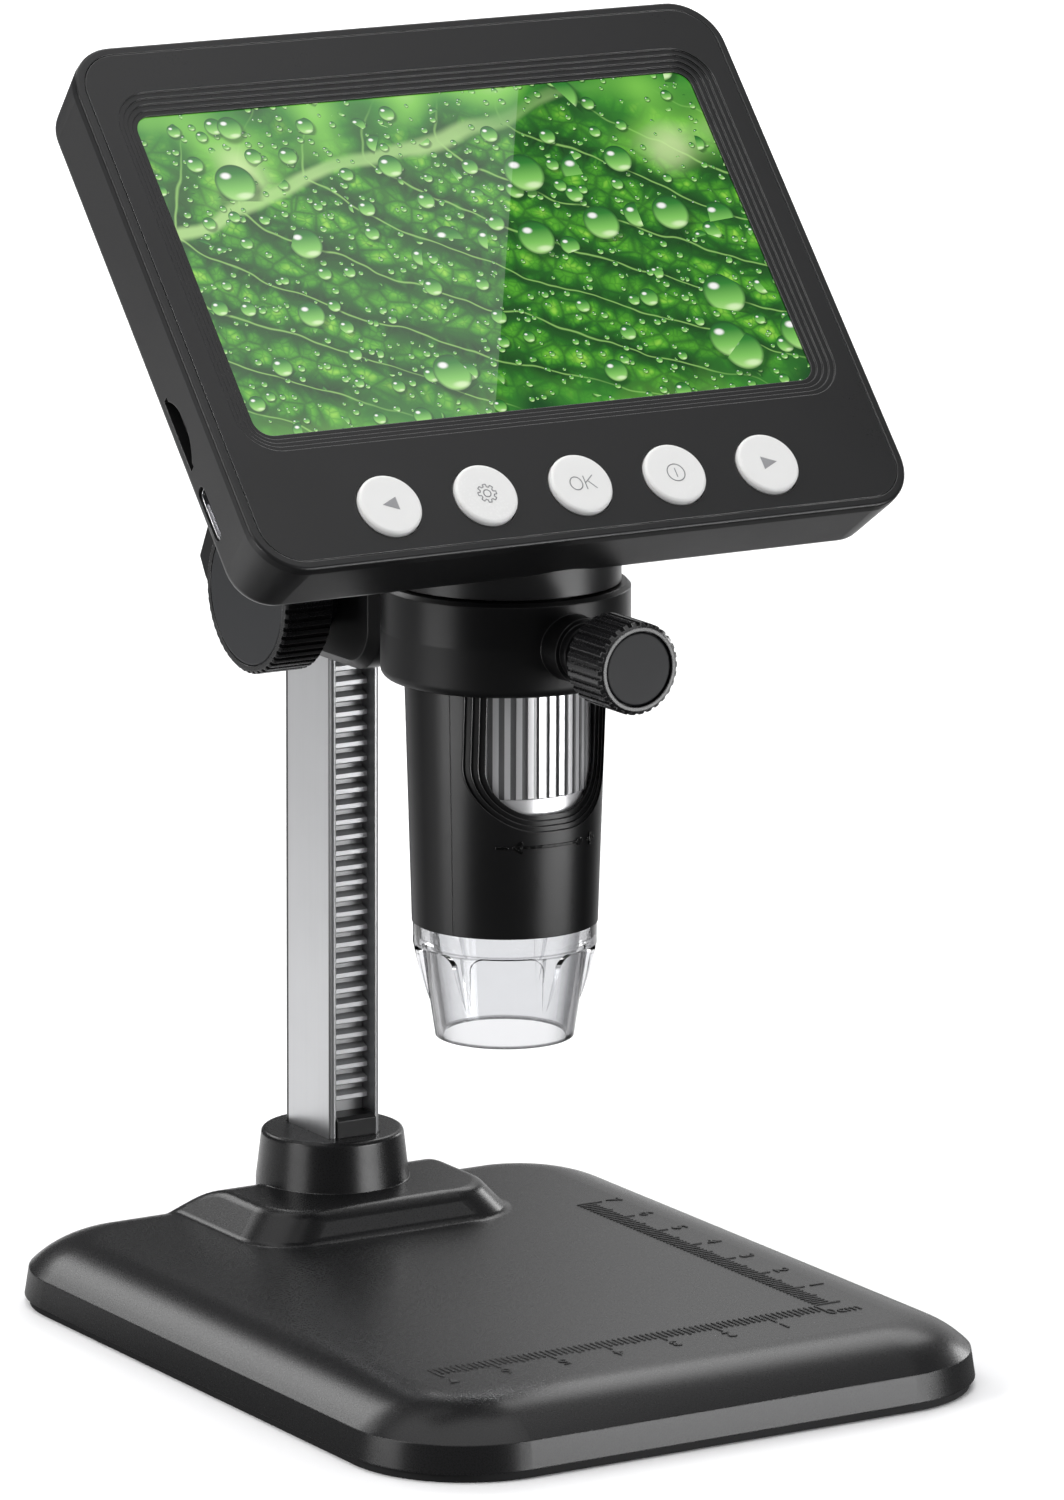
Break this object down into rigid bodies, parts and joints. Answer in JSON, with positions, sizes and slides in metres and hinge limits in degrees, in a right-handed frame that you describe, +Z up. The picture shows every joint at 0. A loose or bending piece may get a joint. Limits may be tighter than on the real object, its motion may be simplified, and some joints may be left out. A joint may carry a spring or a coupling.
{
  "type": "lcd digital microscope",
  "caption": "Screen microscope: a tilted display on an optics tube, held by a ring on a rack-and-pinion column over a flat weighted base.",
  "frame": {"origin": "centre of the flat underside of the base", "axes": "+Z up along the column, the screen faces -Y, +X to the right of somebody who faces the screen"},
  "size_m": [0.1168, 0.1462, 0.2045],
  "materials": {
    "base_black": "fine moulded texture",
    "arm_black": "satin",
    "tube_black": "satin",
    "screen_black": "satin",
    "knob_black": "ridged",
    "knob_face": "smooth",
    "pad_rubber": "matte",
    "weight_steel": "plain",
    "screw_steel": "plain",
    "column_aluminium": "satin anodised",
    "rack_steel": "bright",
    "gear_steel": "machined",
    "insert_brass": "turned",
    "guide_white": "smooth",
    "wheel_silver": "bright",
    "cell_black": "matte",
    "lens_glass": "polished",
    "clear_plastic": "polished",
    "lamp_white": "clear",
    "board_green": "solder mask",
    "chip_black": "matte",
    "cable_amber": "film",
    "sensor_dark": "polished",
    "display_glass": "polished",
    "panel_white": "smooth",
    "socket_metal": "plated",
    "battery_wrap": "foil",
    "key_white": "smooth",
    "switch_grey": "matte"
  },
  "bodies": {
    "stand": {"base_shell": "base_black", "base_weight": "weight_steel", "base_pad": "pad_rubber", "base_screws": "screw_steel", "column": "column_aluminium", "column_rack": "rack_steel", "rack_end_block": "arm_black", "column_cap": "arm_black", "column_screw": "screw_steel"},
    "carriage": {"focus_arm": "arm_black", "carriage_rear_cover": "arm_black", "carriage_screws": "screw_steel", "guide_pad": "guide_white", "clamp_insert": "insert_brass"},
    "focus_drive": {"pinion": "gear_steel", "focus_shaft": "gear_steel", "focus_knob_left": "knob_black", "focus_knob_left_cap": "knob_face", "focus_knob_right": "knob_black", "focus_knob_right_cap": "knob_face"},
    "clamp": {"clamp_screw": "gear_steel", "clamp_knob": "knob_black", "clamp_knob_cap": "knob_face"},
    "head": {"barrel_rear_shell": "tube_black", "barrel_front_cover": "tube_black", "lamp_board": "board_green", "lamps": "lamp_white", "clear_cap": "clear_plastic", "sensor_board": "board_green", "image_sensor": "sensor_dark", "rear_housing": "screen_black", "front_frame": "screen_black", "screen_glass": "display_glass", "lcd_panel": "panel_white", "main_board": "board_green", "board_chips": "chip_black", "sensor_cable": "cable_amber", "charging_port": "socket_metal", "memory_card_socket": "socket_metal", "battery": "battery_wrap", "housing_screws": "screw_steel", "board_screws": "screw_steel", "key_board": "board_green", "key_switches": "switch_grey"},
    "focus_wheel": {"focus_wheel": "wheel_silver"},
    "lens_carrier": {"lens_cell": "cell_black", "objective_lens": "lens_glass"},
    "key_left": {"key_left": "key_white"},
    "key_settings": {"key_settings": "key_white"},
    "key_ok": {"key_ok": "key_white"},
    "key_power": {"key_power": "key_white"},
    "key_right": {"key_right": "key_white"}
  },
  "joints": [
    {"name": "lift", "type": "slide", "parent": "stand", "child": "carriage", "axis": [0, 0, 1], "range_m": [-0.038, 0.02]},
    {"name": "focus_drive_turn", "type": "hinge", "parent": "carriage", "child": "focus_drive", "pos_m": [0, 0.03892, 0.1152], "axis": [1, 0, 0], "range_deg": [-181, 342]},
    {"name": "clamp_turn", "type": "hinge", "parent": "carriage", "child": "clamp", "pos_m": [0, -0.0321, 0.1153], "axis": [0, -1, 0], "range_deg": [0, 720]},
    {"name": "head_swivel", "type": "hinge", "parent": "carriage", "child": "head", "pos_m": [0, -0.0033, 0.1153], "axis": [0, 0, 1], "range_deg": [-30, 30]},
    {"name": "lens_slide", "type": "slide", "parent": "head", "child": "lens_carrier", "axis": [0, 0, 1], "range_m": [-0.0025, 0.0025]},
    {"name": "focus_wheel_turn", "type": "hinge", "parent": "head", "child": "focus_wheel", "pos_m": [0, -0.0033, 0.097], "axis": [0, 0, 1], "range_deg": [-151, 151]},
    {"name": "press_left", "type": "slide", "parent": "head", "child": "key_left", "axis": [0, 0.7513, -0.66], "range_m": [0, 0.0005], "stiffness_N_per_m": 1500, "springref_m": -0.0002},
    {"name": "press_settings", "type": "slide", "parent": "head", "child": "key_settings", "axis": [0, 0.7513, -0.66], "range_m": [0, 0.0005], "stiffness_N_per_m": 1500, "springref_m": -0.0002},
    {"name": "press_ok", "type": "slide", "parent": "head", "child": "key_ok", "axis": [0, 0.7513, -0.66], "range_m": [0, 0.0005], "stiffness_N_per_m": 1500, "springref_m": -0.0002},
    {"name": "press_power", "type": "slide", "parent": "head", "child": "key_power", "axis": [0, 0.7513, -0.66], "range_m": [0, 0.0005], "stiffness_N_per_m": 1500, "springref_m": -0.0002},
    {"name": "press_right", "type": "slide", "parent": "head", "child": "key_right", "axis": [0, 0.7513, -0.66], "range_m": [0, 0.0005], "stiffness_N_per_m": 1500, "springref_m": -0.0002}
  ],
  "couplings": [
    {"joint": "focus_drive_turn", "follows": "lift", "rad_per_m": -156.25},
    {"joint": "focus_wheel_turn", "follows": "lens_slide", "rad_per_m": 1047.2}
  ]
}
